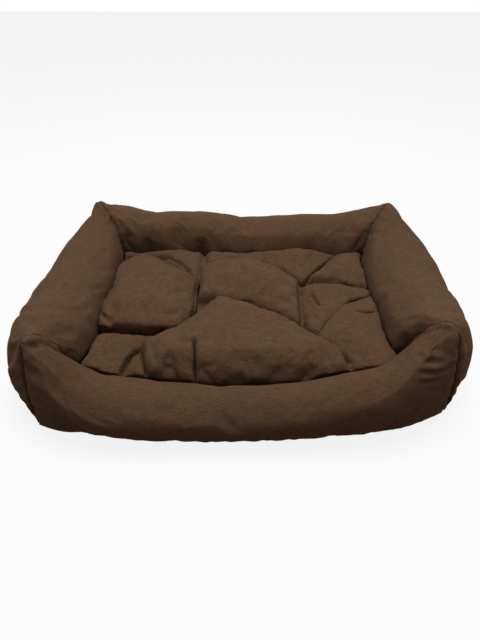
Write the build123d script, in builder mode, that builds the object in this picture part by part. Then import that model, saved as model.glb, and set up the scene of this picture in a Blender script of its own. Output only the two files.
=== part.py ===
"""A rectangular pet bed: four stuffed bolsters sewn into a mitred rim, a padded floor, and a loose
stuffed cushion that lifts out and closes with a zip under its rear edge.

Millimetres, +Z up, +X to the right, the low entrance bolster on the -Y side.
The origin is on the floor under the middle of the rim.
"""

from build123d import *
import os
from math import cos, radians, sin, sqrt

# Rim: the corner peaks where the mitre seams end, as seen from above. The two front corners of
# the soft rim have slumped a little out of square.
peak_half_width = 344
peak_half_depth = 241
back_peak_height = 200
front_left_peak_height = 188
front_right_peak_height = 206
front_left_peak_out = 5
front_left_peak_forward = 9
front_right_peak_in = 3
front_right_peak_back = 14

# Rim: ridge height of each bolster between its corners
back_ridge_height = 155
back_shoulder_height = 172
side_ridge_height = 167
side_shoulder_height = 176
front_ridge_height = 101

# Rim: how far a tube swells inwards from its ridge line, and how much further it swells outwards,
# which is most along the sides
back_reach = 58
side_reach = 59
front_reach = 50
outward_extra = 1.5
side_outward_extra = 22
side_front_outward_extra = 21
side_rear_outward_extra = 11
mitre_inner_reach = 76
mitre_outer_reach = 49

# Rim: how far the ridge of the front bolster bows out past its corners
front_bow = 41

# Rim: where the shoulder stations stand, as shares of the way from the middle to a peak
back_shoulder_share = 0.68
side_shoulder_share = 0.6

# Rim: the front bolster from right to left. It rises slowly to the right corner and steeply, in a
# fold, to the left one. Each row gives the place between the middle and a peak, the part of the
# bow, the rise towards the back peaks and the swell, all as shares.
front_station_shares = (
    (0.80, 0.60, 0.64, 1.14),
    (0.52, 0.86, 0.26, 1.05),
    (0.00, 1.00, 0.00, 1.00),
    (-0.42, 0.94, 0.07, 1.02),
    (-0.78, 0.70, 0.28, 1.10),
)

# Tube section: angle where the crest arc meets the flank arc, and how far the flank tucks under
tube_crest_angle = 60
tube_tuck_angle = 35
mitre_crest_angle = 50
mitre_tuck_angle = 30

# Cloth, wadding and clearances
rim_cloth = 1.5
base_cloth = 1.5
base_wadding = 8
seam_allowance = 11
seam_recess = 0.6
soft_clearance = 0.4
base_edge_clearance = 9
panel_edge_inset = 2

# Loose cushion: plan, drawn-in sides, rounded edges, and the levels of its creases and top
cushion_half_width = 281
cushion_rear = 178
cushion_front = 224
cushion_front_bow = 30
cushion_corner_radius = 60
cushion_corner_margin = 4
cushion_crown = 112
cushion_crease = 68
cushion_equator = 33
cushion_tuck = 14
cushion_edge_round = 16
cushion_cloth = 1.2

# Loose cushion: its filling has gathered into puffs with creases between them. Each row gives the
# height of a puff as a share of the crown, and the corners of its outline: across as shares of the
# half width, and back as shares of the way from the front edge to the rear edge.
cushion_puff_shares = {
    "rear_left": (
        1.00,
        ((-0.985, 0.31), (-0.64, 0.30), (-0.43, 0.32), (-0.385, 0.40), (-0.365, 0.70), (-0.54, 0.82))
        + ((-0.71, 0.93), (-0.82, 0.975), (-0.93, 0.935), (-0.985, 0.83)),
    ),
    "rear_middle": (
        0.93,
        ((-0.33, 0.52), (-0.07, 0.54), (0.08, 0.52), (0.40, 0.34), (0.45, 0.46), (0.45, 0.67))
        + ((0.305, 0.81), (0.07, 0.89), (-0.18, 0.875), (-0.33, 0.80)),
    ),
    "front_middle": (
        0.94,
        ((-0.17, 0.50), (0.06, 0.465), (0.40, 0.30), (0.62, 0.13), (0.675, 0.03), (-0.25, 0.015))
        + ((-0.57, 0.03), (-0.655, 0.165), (-0.43, 0.275)),
    ),
    "front_left": (
        0.70,
        ((-0.985, 0.285), (-0.55, 0.27), (-0.705, 0.165), (-0.755, 0.045), (-0.89, 0.07), (-0.985, 0.185)),
    ),
    "rear_strip": (
        0.76,
        ((-0.31, 0.97), (-0.32, 0.89), (-0.18, 0.91), (0.07, 0.925), (0.21, 0.895), (0.33, 0.85))
        + ((0.33, 0.97),),
    ),
    "rear_strip_end": (
        0.76,
        ((0.36, 0.97), (0.36, 0.825), (0.475, 0.75), (0.625, 0.88), (0.745, 0.97)),
    ),
    "rear_notch": (
        0.74,
        ((-0.74, 0.97), (-0.52, 0.85), (-0.36, 0.745), (-0.355, 0.97)),
    ),
    "rear_right": (
        0.78,
        ((0.515, 0.735), (0.735, 0.75), (0.89, 0.705), (0.985, 0.685), (0.985, 0.855), (0.92, 0.94))
        + ((0.80, 0.97), (0.66, 0.86)),
    ),
    "right_fold": (
        0.83,
        ((0.485, 0.675), (0.555, 0.71), (0.74, 0.715), (0.985, 0.65), (0.985, 0.615), (0.76, 0.54))
        + ((0.675, 0.46), (0.505, 0.28), (0.465, 0.32), (0.475, 0.46)),
    ),
    "front_right": (
        0.77,
        ((0.54, 0.25), (0.70, 0.425), (0.775, 0.50), (0.985, 0.575), (0.985, 0.21), (0.91, 0.095))
        + ((0.735, 0.04), (0.66, 0.14)),
    ),
}

# Loose cushion: how a puff rounds over. Each pair gives a level and a width, both as shares.
puff_section_shares = ((0, 1), (0.55, 0.99), (0.82, 0.93), (0.94, 0.78), (1, 0.5))

# Zip in the seam of the cushion, inside a recess under its rear edge
zip_length = 400
zip_recess_height = 27
zip_recess_margin = 32
zip_seam_height = 14
zip_window = 11
zip_tape_width = 11
zip_tape_overhang = 8
zip_tape = 0.8
zip_tape_gap = 3.2
zip_tooth_gap = 1.6
zip_chain_height = 8
zip_chain_depth = 1.6
zip_rail_height = 1
zip_tooth_pitch = 4
zip_tooth_width = 1.8
zip_stop_length = 3

# Zip slider and its pull
slider_length = 11
slider_height = 9.8
slider_plate = 1.2
slider_running = 0.2
slider_divider = 1.2
slider_divider_length = 3
slider_flange = 0.7
bridge_length = 8
bridge_rise = 3
bridge_bar = 1
bridge_width = 2
pull_pin_radius = 0.6
pull_length = 21
pull_width = 6
pull_eye_length = 7
pull_eye_width = 3
pull_hole_radius = 1.3

# Levels and faces that follow from the sizes above
rim_foot = base_cloth
liner_bottom = base_cloth + base_wadding
liner_top = liner_bottom + base_cloth
cushion_bottom = liner_top + soft_clearance
cushion_top = cushion_bottom + cushion_crown
zip_level = cushion_bottom + zip_seam_height
zip_face = cushion_rear - cushion_tuck - cushion_cloth
tape_face = zip_face - cushion_cloth
tape_back = tape_face - zip_tape
chain_face = tape_face + zip_chain_depth
recess_half_length = zip_length / 2 + zip_recess_margin
slider_front = chain_face + slider_running + slider_plate
slider_back = tape_back - slider_running - slider_plate
slider_start = -zip_length / 2 + zip_stop_length + slider_running + slider_length / 2
pin_centre = slider_front + slider_running + pull_pin_radius

UP = Vector(0, 0, 1)
LEFT, RIGHT, BACK, FRONT = (-1, 0, 0), (1, 0, 0), (0, 1, 0), (0, -1, 0)


def station(x, y, outward, height, inner, outer, crest, tuck):
    """One upright section of a tube: where its ridge stands, which way is out, and its shape."""
    return dict(
        x=x,
        y=y,
        outward=Vector(*outward).normalized(),
        height=height,
        inner=inner,
        outer=outer,
        crest=crest,
        tuck=tuck,
    )


def mitre(x, y, height):
    """The section that two bolsters share at a corner, in the upright plane of their seam."""
    outward = (1 if x > 0 else -1, 1 if y > 0 else -1, 0)
    return station(
        x, y, outward, height, mitre_inner_reach, mitre_outer_reach, mitre_crest_angle, mitre_tuck_angle
    )


def tube(x, y, outward, height, reach, extra=outward_extra):
    """A section square to a bolster's run."""
    outer = reach + extra
    return station(x, y, outward, height, reach, outer, tube_crest_angle, tube_tuck_angle)


def front_tube(place, bow, rise, swell):
    """One section of the front bolster, from its row of shares."""
    return tube(
        place * peak_half_width,
        -peak_half_depth - bow * front_bow,
        FRONT,
        front_ridge_height + rise * (back_peak_height - front_ridge_height),
        swell * front_reach,
    )


def side_bolster(x, outward):
    """The three sections of a side bolster between its corners, from front to back."""
    shoulder = side_shoulder_share * peak_half_depth
    return [
        tube(x, -shoulder, outward, side_shoulder_height, side_reach, side_front_outward_extra),
        tube(x, 0, outward, side_ridge_height, side_reach, side_outward_extra),
        tube(x, shoulder, outward, side_shoulder_height, side_reach, side_rear_outward_extra),
    ]


back_shoulder = back_shoulder_share * peak_half_width
back_left = mitre(-peak_half_width, peak_half_depth, back_peak_height)
back_right = mitre(peak_half_width, peak_half_depth, back_peak_height)
front_left = mitre(
    -peak_half_width - front_left_peak_out,
    -peak_half_depth - front_left_peak_forward,
    front_left_peak_height,
)
front_right = mitre(
    peak_half_width - front_right_peak_in,
    -peak_half_depth + front_right_peak_back,
    front_right_peak_height,
)
corners = {
    "front_left": front_left,
    "front_right": front_right,
    "back_left": back_left,
    "back_right": back_right,
}
bolsters = {
    "left": [front_left, *side_bolster(-peak_half_width, LEFT), back_left],
    "back": [
        back_left,
        tube(-back_shoulder, peak_half_depth, BACK, back_shoulder_height, back_reach),
        tube(0, peak_half_depth, BACK, back_ridge_height, back_reach),
        tube(back_shoulder, peak_half_depth, BACK, back_shoulder_height, back_reach),
        back_right,
    ],
    "right": [back_right, *reversed(side_bolster(peak_half_width, RIGHT)), front_right],
    "front": [front_right, *[front_tube(*row) for row in front_station_shares], front_left],
}


def radii(height, reach, crest, tuck):
    """Crest and flank radii of a half section with this height and reach, arcs tangent."""
    c, s = cos(radians(crest)), sin(radians(crest))
    fall = c + sin(radians(tuck))
    crest_radius = (reach - (1 - s) * height / fall) / (s - (1 - s) * (1 - c) / fall)
    flank_radius = (height - crest_radius * (1 - c)) / fall
    return crest_radius, flank_radius


def plan_point(where, side, level, margin):
    """Plan position of a station's flank at a level above its foot, moved away from the ridge."""
    reach = where[side]
    flank = radii(where["height"] - rim_foot, reach, where["crest"], where["tuck"])[1]
    drop = flank * sin(radians(where["tuck"])) - level
    out = reach - flank + sqrt(flank**2 - drop**2) + margin
    sign = 1 if side == "outer" else -1
    return (where["x"] + sign * out * where["outward"].X, where["y"] + sign * out * where["outward"].Y)


def section_plane(where, level):
    """Upright plane of a station: its x axis points out of the rim, its y axis up."""
    across = where["outward"]
    return Plane(origin=(where["x"], where["y"], level), x_dir=across, z_dir=across.cross(UP))


def section(where, inset=0):
    """Closed outline of a stuffed tube at a station, inset by a cloth thickness: a crest arc and
    a flank arc on each side, and a flat foot."""
    foot = rim_foot + inset
    height = where["height"] - inset - foot
    turn = 90 + where["tuck"] - where["crest"]
    with BuildSketch(section_plane(where, foot)) as outline:
        with BuildLine():
            feet = []
            for side, sign in (("outer", 1), ("inner", -1)):
                reach = where[side] - inset
                crest_radius, flank_radius = radii(height, reach, where["crest"], where["tuck"])
                crest = JernArc((0, height), (sign, 0), crest_radius, -sign * where["crest"])
                flank = JernArc(crest @ 1, crest % 1, flank_radius, -sign * turn)
                feet.append(flank @ 1)
            Line(*feet)
        make_face()
    return outline.sketch


def trim_to_mitres(run, setback):
    """Cuts a tube back from the mitre planes at both of its ends."""
    for where in (run[0], run[-1]):
        size = where["height"] + where["inner"] + where["outer"]
        with BuildSketch(section_plane(where, 0)) as slab:
            Rectangle(size, 2 * size)
        extrude(slab.sketch, amount=setback, both=True, mode=Mode.SUBTRACT)


def base_outline(side, level, margin):
    """Plan of the base where it meets one flank of every bolster, corner to corner."""
    with BuildSketch() as outline:
        with BuildLine():
            for run in bolsters.values():
                Spline(*[plan_point(where, side, level, margin) for where in run])
        make_face()
    return outline.sketch


def side_profile(inset):
    """Upright section across the cushion under its puffs: drawn-in sides and a level top."""
    width = cushion_half_width - inset
    bottom = cushion_bottom + inset
    crease = cushion_bottom + cushion_crease - inset
    with BuildSketch(Plane.XZ) as profile:
        with BuildLine():
            shoulders = []
            for sign in (1, -1):
                foot = (sign * (width - cushion_tuck), bottom)
                shoulder = (sign * (width - cushion_edge_round), crease)
                ThreePointArc(foot, (sign * width, cushion_bottom + cushion_equator), shoulder)
                shoulders.append((foot, shoulder))
            Line(shoulders[0][0], shoulders[1][0])
            Line(shoulders[0][1], shoulders[1][1])
        make_face()
    return profile.sketch


def edge_profile(x, bow, inset):
    """Upright section along the cushion's depth: its drawn-in rear and front edges."""
    bottom = cushion_bottom + inset
    equator = cushion_bottom + cushion_equator
    shoulder = cushion_bottom + cushion_crease - inset
    lid = cushion_top + cushion_crown
    rear = cushion_rear - inset
    front = -cushion_front + cushion_front_bow - bow + inset
    rear_foot = (rear - cushion_tuck, bottom)
    rear_shoulder = (rear - cushion_edge_round, shoulder)
    front_foot = (front + cushion_tuck, bottom)
    front_shoulder_point = (front + cushion_edge_round, shoulder)
    with BuildSketch(Plane(origin=(x, 0, 0), x_dir=(0, 1, 0), z_dir=(1, 0, 0))) as profile:
        with BuildLine():
            ThreePointArc(rear_foot, (rear, equator), rear_shoulder)
            Polyline(
                rear_shoulder,
                (rear_shoulder[0], lid),
                (front_shoulder_point[0], lid),
                front_shoulder_point,
            )
            ThreePointArc(front_shoulder_point, (front, equator), front_foot)
            Line(front_foot, rear_foot)
        make_face()
    return profile.sketch


def puff_section(corners, level, width_share, inset):
    """Outline of a puff at a level, inset by a cloth thickness and shrunk about its middle."""
    middle = sum((Vector(*corner) for corner in corners), Vector()) / len(corners)
    with BuildSketch(Plane((middle.X, middle.Y, level))) as outline:
        with BuildLine():
            Polyline(*[Vector(*corner) - middle for corner in corners], close=True)
        make_face()
        if inset:
            offset(amount=-inset, kind=Kind.INTERSECTION)
        scale(by=width_share)
    return outline.sketch


def puff(height_share, corner_shares, inset):
    """Stands one puff on the cushion's broadest level."""
    depth = cushion_rear + cushion_front
    corners = [(x * cushion_half_width, y * depth - cushion_front) for x, y in corner_shares]
    foot = cushion_bottom + cushion_equator
    rise = height_share * cushion_crown - cushion_equator - inset
    loft(
        sections=[
            puff_section(corners, foot + level_share * rise, width_share, inset)
            for level_share, width_share in puff_section_shares
        ]
    )


def cushion_form(inset):
    """The stuffed cushion inset by a cloth thickness, before its zip recess is cut. The plan only
    rounds the corners and stands clear of the edges."""
    side = cushion_half_width + cushion_corner_radius
    with BuildSketch(Plane((0, (cushion_rear - cushion_front) / 2, 0))) as plan:
        RectangleRounded(
            2 * (cushion_half_width + cushion_corner_margin - inset),
            cushion_rear + cushion_front + 2 * (cushion_corner_margin - inset),
            cushion_corner_radius - inset,
        )
    with BuildPart() as form:
        extrude(side_profile(inset), amount=cushion_rear + cushion_front, both=True)
        loft(
            sections=[
                edge_profile(-side, 0, inset),
                edge_profile(0, cushion_front_bow, inset),
                edge_profile(side, 0, inset),
            ],
            mode=Mode.INTERSECT,
        )
        extrude(plan.sketch, amount=2 * cushion_top, mode=Mode.INTERSECT)
        for height_share, corner_shares in cushion_puff_shares.values():
            puff(height_share, corner_shares, inset)
    return form.part


def box_cut(x_half, y_low, y_high, z_low, z_high):
    """Takes a box out of the piece, even about the middle of the width."""
    with Locations((0, y_low, z_low)):
        Box(
            2 * x_half,
            y_high - y_low,
            z_high - z_low,
            align=(Align.CENTER, Align.MIN, Align.MIN),
            mode=Mode.SUBTRACT,
        )


def cut_recess(face, growth):
    """Takes the zip recess out of the cushion, grown by a cloth thickness on its hidden sides."""
    ceiling = cushion_bottom + zip_recess_height + growth
    box_cut(recess_half_length + growth, face, 2 * cushion_rear, 0, ceiling)


os.makedirs("parts", exist_ok=True)


def keep(builder, name):
    """Labels a finished piece and writes it under its node name."""
    builder.part.label = name
    export_step(builder.part, f"parts/{name}.step")


# Bolster covers and fillings. The cover is an open tube of cloth that stops at the turned-in edges
# of its two mitre seams, and the filling inside it stops a little shorter.
for side, run in bolsters.items():
    with BuildPart() as bolster_cover:
        loft(sections=[section(where) for where in run])
        trim_to_mitres(run, rim_cloth)
        loft(sections=[section(where, rim_cloth) for where in run], mode=Mode.SUBTRACT)
    keep(bolster_cover, f"{side}_bolster_cover")

    with BuildPart() as bolster_filling:
        loft(sections=[section(where, rim_cloth + soft_clearance) for where in run])
        trim_to_mitres(run, rim_cloth + soft_clearance)
    keep(bolster_filling, f"{side}_bolster_filling")

# Corner seams: the two cloth edges of a mitre, sewn together and turned inside
for corner, where in corners.items():
    with BuildPart() as corner_seam:
        extrude(section(where, seam_recess), amount=rim_cloth, both=True)
        opening = section(where, seam_recess + seam_allowance)
        extrude(opening, amount=2 * rim_cloth, both=True, mode=Mode.SUBTRACT)
    keep(corner_seam, f"{corner}_corner_seam")

# Base: a bottom panel under the whole rim, and a padded floor between the bolsters
with BuildPart() as base_bottom_panel:
    extrude(base_outline("outer", 0, -panel_edge_inset), amount=base_cloth)
keep(base_bottom_panel, "base_bottom_panel")

floor_plan = base_outline("inner", liner_top - rim_foot, base_edge_clearance)
with BuildPart() as base_padding:
    extrude(floor_plan, amount=liner_bottom)
    extrude(floor_plan, amount=base_cloth, mode=Mode.SUBTRACT)
keep(base_padding, "base_padding")

with BuildPart() as base_top_panel:
    extrude(floor_plan, amount=liner_top)
    extrude(floor_plan, amount=liner_bottom, mode=Mode.SUBTRACT)
keep(base_top_panel, "base_top_panel")

# Cushion cover: a shell of cloth in two halves that meet at the level of the zip, open at the zip
with BuildPart() as cushion_hollow:
    add(cushion_form(cushion_cloth))
    cut_recess(tape_face, cushion_cloth)

with BuildPart() as cushion_shell:
    add(cushion_form(0))
    cut_recess(zip_face, 0)
    add(cushion_hollow.part, mode=Mode.SUBTRACT)
    window_half = zip_window / 2
    box_cut(zip_length / 2, slider_back, slider_front, zip_level - window_half, zip_level + window_half)

for half, kept in (("top", Keep.TOP), ("bottom", Keep.BOTTOM)):
    with BuildPart() as cushion_cover:
        add(cushion_shell.part)
        split(bisect_by=Plane((0, 0, zip_level)), keep=kept)
    keep(cushion_cover, f"cushion_cover_{half}")

with BuildPart() as cushion_filling:
    add(cushion_form(cushion_cloth + soft_clearance))
    cut_recess(slider_back - soft_clearance, cushion_cloth + soft_clearance)
keep(cushion_filling, "cushion_filling")

# Zip: two tapes sewn behind the edges of the opening, a row of teeth on each, and two end stops
for half, sign in (("upper", 1), ("lower", -1)):
    with BuildPart() as zip_tape_strip:
        middle = zip_level + sign * (zip_tape_gap + zip_tape_width) / 2
        with BuildSketch(Plane(origin=(0, tape_back, middle), x_dir=(1, 0, 0), z_dir=(0, 1, 0))):
            Rectangle(zip_length + 2 * zip_tape_overhang, zip_tape_width)
        extrude(amount=zip_tape)
    keep(zip_tape_strip, f"zip_tape_{half}")

    with BuildPart() as zip_teeth:
        run_length = zip_length - 2 * zip_stop_length
        rail = zip_level + sign * (zip_chain_height - zip_rail_height) / 2
        tooth_length = (zip_chain_height - zip_tooth_gap) / 2
        tooth = zip_level + sign * (zip_tooth_gap + tooth_length) / 2
        count = int(run_length / zip_tooth_pitch)
        with BuildSketch(Plane(origin=(0, tape_face, rail), x_dir=(1, 0, 0), z_dir=(0, 1, 0))):
            Rectangle(run_length, zip_rail_height)
        with BuildSketch(Plane(origin=(0, tape_face, tooth), x_dir=(1, 0, 0), z_dir=(0, 1, 0))):
            with GridLocations(zip_tooth_pitch, 0, count, 1):
                Rectangle(zip_tooth_width, tooth_length)
        extrude(amount=zip_chain_depth)
    keep(zip_teeth, f"zip_teeth_{half}")

for end, sign in (("left", -1), ("right", 1)):
    with BuildPart() as zip_stop:
        x = sign * (zip_length - zip_stop_length) / 2
        with BuildSketch(Plane(origin=(x, tape_face, zip_level), x_dir=(1, 0, 0), z_dir=(0, 1, 0))):
            Rectangle(zip_stop_length, zip_chain_height)
        extrude(amount=zip_chain_depth)
    keep(zip_stop, f"zip_stop_{end}")

# Slider: two plates joined by a divider, flanges along the chain, and a bridge for the pull
with BuildPart() as zip_slider:
    for face in (slider_back, chain_face + slider_running):
        with Locations((slider_start, face + slider_plate / 2, zip_level)):
            Box(slider_length, slider_plate, slider_height)
    with Locations((slider_start, (slider_back + slider_front) / 2, zip_level)):
        Box(slider_divider_length, slider_front - slider_back, slider_divider)
    flange_depth = zip_chain_depth + slider_plate
    for sign in (1, -1):
        flange = zip_level + sign * (slider_height - slider_flange) / 2
        with Locations((slider_start, slider_front - flange_depth / 2, flange)):
            Box(slider_length, flange_depth, slider_flange)
    with Locations((slider_start, slider_front + bridge_rise / 2, zip_level)):
        Box(bridge_length, bridge_rise, bridge_width)
    with Locations((slider_start, slider_front + (bridge_rise - bridge_bar) / 2, zip_level)):
        Box(bridge_length - 2 * bridge_bar, bridge_rise - bridge_bar, bridge_width, mode=Mode.SUBTRACT)
keep(zip_slider, "zip_slider")

# Pull: a flat tab with an eye that rides around the bridge, turning on a pin under it
with BuildPart() as zip_pull:
    eye_start = slider_start + pull_pin_radius
    with Locations((slider_start, pin_centre, zip_level)):
        Cylinder(pull_pin_radius, pull_width)
        with Locations((pull_length / 2, 0, 0)):
            Box(pull_length, 2 * pull_pin_radius, pull_width)
    with Locations((eye_start + pull_eye_length / 2, pin_centre, zip_level)):
        Box(pull_eye_length, pull_width, pull_eye_width, mode=Mode.SUBTRACT)
    with Locations(Plane(origin=(slider_start, pin_centre, zip_level), z_dir=(0, 1, 0))):
        with Locations((pull_length - pull_width / 2, 0, 0)):
            Cylinder(pull_hole_radius, pull_width, mode=Mode.SUBTRACT)
keep(zip_pull, "zip_pull")
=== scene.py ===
"""Pet bed: four stuffed bolsters in a mitred rim, a padded floor, and a loose crumpled cushion.

Metres, +Z up, the low front bolster on the -Y side. Real sizes are written in millimetres and
turned to metres where a mesh takes its points.
"""

import bpy
import bmesh
import math
import numpy as np
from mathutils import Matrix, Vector
from mathutils.bvhtree import BVHTree


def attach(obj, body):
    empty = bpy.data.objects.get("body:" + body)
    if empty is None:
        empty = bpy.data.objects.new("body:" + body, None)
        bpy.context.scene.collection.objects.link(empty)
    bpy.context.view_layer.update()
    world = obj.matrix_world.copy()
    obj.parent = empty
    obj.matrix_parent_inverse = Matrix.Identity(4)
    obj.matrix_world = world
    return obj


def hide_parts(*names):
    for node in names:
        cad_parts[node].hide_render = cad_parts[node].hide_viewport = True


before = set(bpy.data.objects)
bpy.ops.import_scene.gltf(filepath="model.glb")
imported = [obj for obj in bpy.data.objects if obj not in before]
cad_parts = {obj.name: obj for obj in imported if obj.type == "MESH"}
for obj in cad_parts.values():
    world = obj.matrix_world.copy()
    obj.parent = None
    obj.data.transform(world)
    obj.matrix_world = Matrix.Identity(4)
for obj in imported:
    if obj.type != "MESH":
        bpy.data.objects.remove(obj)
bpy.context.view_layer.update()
MM = 0.001


# Camera: about 0.7 m up and just in front of the bed, tilted down

camera_data = bpy.data.cameras.new("camera")
camera_data.lens = 27
camera_data.sensor_width = 36
camera = bpy.data.objects.new("camera", camera_data)
camera.location = (0.0065, -0.835, 0.693)
camera.rotation_euler = (math.radians(90 - 38.5), 0, math.radians(0.6))
bpy.context.scene.collection.objects.link(camera)
bpy.context.scene.camera = camera


# Materials


def linear(hex_text):
    """The linear colour of an sRGB hex value."""
    parts = [int(hex_text[k : k + 2], 16) / 255 for k in (1, 3, 5)]
    return [c / 12.92 if c <= 0.04045 else ((c + 0.055) / 1.055) ** 2.4 for c in parts] + [1]


def add_node(tree, kind, sockets, **settings):
    """Adds a node with its settings, and fills or links its sockets."""
    node = tree.nodes.new(kind)
    for name, value in settings.items():
        setattr(node, name, value)
    for socket, value in sockets.items():
        if isinstance(value, bpy.types.NodeSocket):
            tree.links.new(value, node.inputs[socket])
        else:
            node.inputs[socket].default_value = value
    return node


def add_ramp(tree, factor, *stops):
    """Adds a colour ramp with the given positions and colours."""
    node = add_node(tree, "ShaderNodeValToRGB", {"Fac": factor})
    elements = node.color_ramp.elements
    while len(elements) < len(stops):
        elements.new(0.5)
    for element, (position, colour) in zip(elements, stops):
        element.position, element.color = position, colour
    return node.outputs["Color"]


def blank_material(name):
    """A new material with an empty node tree."""
    material = bpy.data.materials.new(name)
    material.use_nodes = True
    material.node_tree.nodes.clear()
    return material, material.node_tree


def slubbed_cloth(name, on_uv, dark, middle, light):
    """Melange upholstery cloth in a plain weave: matt and soft, with thick and thin weft yarns that
    read as faint short streaks, a finer warp across them, and a slow drift of the dye between
    redder and greener brown."""
    material, tree = blank_material(name)
    place = add_node(tree, "ShaderNodeTexCoord", {})
    where = place.outputs["UV" if on_uv else "Object"]

    def noise(scale, stretch, detail):
        at = where
        if stretch:
            at = add_node(tree, "ShaderNodeMapping", {"Vector": where, "Scale": stretch}).outputs["Vector"]
        sockets = {"Vector": at, "Scale": scale, "Detail": detail, "Roughness": 0.6}
        return add_node(tree, "ShaderNodeTexNoise", sockets).outputs["Fac"]

    def thread(direction):
        # Threads are about 1.2 mm apart, drawn at 1.8 mm so that they show.
        sockets = {"Vector": where, "Scale": math.pi / 10 / 0.0018, "Distortion": 0.8, "Detail": 1.0}
        return add_node(tree, "ShaderNodeTexWave", sockets, bands_direction=direction).outputs["Fac"]

    def join(operation, *values):
        node = add_node(tree, "ShaderNodeMath", dict(enumerate(values)), operation=operation)
        return node.outputs["Value"]

    def tone(value, low, high, darkest, lightest):
        sockets = {"Value": value, "From Min": low, "From Max": high, "To Min": darkest, "To Max": lightest}
        return add_node(tree, "ShaderNodeMapRange", sockets).outputs["Result"]

    def multiply(colour, other):
        node = add_node(
            tree, "ShaderNodeMix", {0: 1.0, 6: colour, 7: other}, data_type="RGBA", blend_type="MULTIPLY"
        )
        return node.outputs[2]

    # Weft slubs are about 14 mm long and 1.5 mm thick; warp slubs are shorter and rarer.
    weft_slubs = noise(1.0, (70, 560, 560), 3.0)
    warp_slubs = noise(1.0, (620, 85, 85), 2.0)
    weave = join("MULTIPLY", thread("X"), thread("Y"))
    base = add_ramp(
        tree,
        weft_slubs,
        (0.30, linear(dark)),
        (0.50, linear(middle)),
        (0.62, linear(middle)),
        (0.78, linear(light)),
    )
    threads = join("MULTIPLY", tone(warp_slubs, 0.3, 0.75, 0.89, 1.18), tone(weave, 0, 1, 0.85, 1.12))
    # The dye drifts over a hand's width, and lint and wear lighten it in finger-wide patches.
    redder, greener = (1.05, 0.97, 0.95, 1), (0.96, 1.01, 0.97, 1)
    drift = add_ramp(tree, noise(15.0, None, 2.0), (0.36, redder), (0.64, greener))
    patches = tone(noise(70.0, None, 3.0), 0.3, 0.7, 0.91, 1.09)
    colour = multiply(multiply(multiply(base, threads), drift), patches)
    relief = join("MULTIPLY_ADD", weft_slubs, 1.4, weave)
    bump = add_node(tree, "ShaderNodeBump", {"Strength": 0.45, "Distance": 0.0005, "Height": relief})
    shader = add_node(
        tree,
        "ShaderNodeBsdfPrincipled",
        {
            "Base Color": colour,
            "Normal": bump.outputs["Normal"],
            "Roughness": 0.93,
            "Specular IOR Level": 0.15,
            "Sheen Weight": 0.06,
            "Sheen Roughness": 0.5,
            "Sheen Tint": linear("#a88766"),
        },
    )
    add_node(tree, "ShaderNodeOutputMaterial", {"Surface": shader.outputs["BSDF"]})
    return material


cover_browns = ("#443022", "#58412e", "#72573f")
bolster_cloth = slubbed_cloth("slubbed melange cloth on the bolsters", True, *cover_browns)
cushion_cloth = slubbed_cloth("slubbed melange cloth on the cushion", False, *cover_browns)
seam_cloth = slubbed_cloth("turned-in cloth edges", False, "#2a1c12", "#36261a", "#443222")
base_cloth = slubbed_cloth("plain dark cloth of the base", False, "#2b1e14", "#36271b", "#403023")


def plain_finish(name, colour, varied, grain, roughness, metallic=0.0, relief=0.0):
    """A finish of one colour that varies with a fine grain, whose size is in millimetres."""
    material, tree = blank_material(name)
    place = add_node(tree, "ShaderNodeTexCoord", {})
    sockets = {"Vector": place.outputs["Object"], "Scale": 1 / (grain * MM), "Detail": 3.0}
    noise = add_node(tree, "ShaderNodeTexNoise", sockets).outputs["Fac"]
    shader_sockets = {
        "Base Color": add_ramp(tree, noise, (0.3, linear(varied)), (0.7, linear(colour))),
        "Roughness": roughness,
        "Metallic": metallic,
    }
    if relief:
        depth = {"Strength": 0.5, "Distance": relief * MM, "Height": noise}
        bump = add_node(tree, "ShaderNodeBump", depth)
        shader_sockets["Normal"] = bump.outputs["Normal"]
    shader = add_node(tree, "ShaderNodeBsdfPrincipled", shader_sockets)
    add_node(tree, "ShaderNodeOutputMaterial", {"Surface": shader.outputs["BSDF"]})
    return material


# Spun polyester thread: matt, a little paler than the cloth, with a faint twist.
stitch_thread = plain_finish("spun polyester thread", "#75593c", "#52391f", 1.2, 0.8, relief=0.1)
# Polyester zip tape: a tight narrow weave, matt and darker than the cover.
zip_tape = plain_finish("woven polyester zip tape", "#38281a", "#2c1e13", 0.8, 0.85, relief=0.12)
# Moulded acetal teeth: smooth, with the dull gloss of moulded plastic.
zip_plastic = plain_finish("moulded acetal zip teeth", "#3a2719", "#302014", 3.0, 0.42)
# Antique brass plating on die-cast zinc: darkened in its hollows and rubbed brighter on its edges.
zip_brass = plain_finish(
    "antique brass plated zinc", "#8a7350", "#5e4b32", 2.2, 0.38, metallic=1.0, relief=0.05
)


def dress(piece, material):
    """Gives a piece one material."""
    piece.data.materials.clear()
    piece.data.materials.append(material)
    return piece


# Tools for stuffed pieces


def smoothstep(low, high, value):
    """A smooth rise from 0 at low to 1 at high."""
    t = np.clip((value - low) / (high - low), 0, 1)
    return t * t * (3 - 2 * t)


def hump(value, width):
    """A soft hump of height 1 around zero."""
    return np.exp(-((value / width) ** 2))


def crumple(places, wavelengths, seed):
    """Soft unevenness in millimetres: sums of waves in space at fixed random slants."""
    waves = np.random.default_rng(seed)
    total = np.zeros(places.shape[:-1])
    for wavelength, size in wavelengths:
        # Six waves of each length, scaled down by about the root of six
        for _ in range(6):
            way = waves.normal(size=3)
            way /= np.linalg.norm(way)
            total += size * np.sin(places @ way * (2 * np.pi / wavelength) + waves.uniform(0, 6.28)) / 2.4
    return total


def read_points(mesh):
    """A mesh's vertex positions in millimetres."""
    points = np.zeros(len(mesh.vertices) * 3)
    mesh.vertices.foreach_get("co", points)
    return points.reshape(-1, 3) / MM


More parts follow.
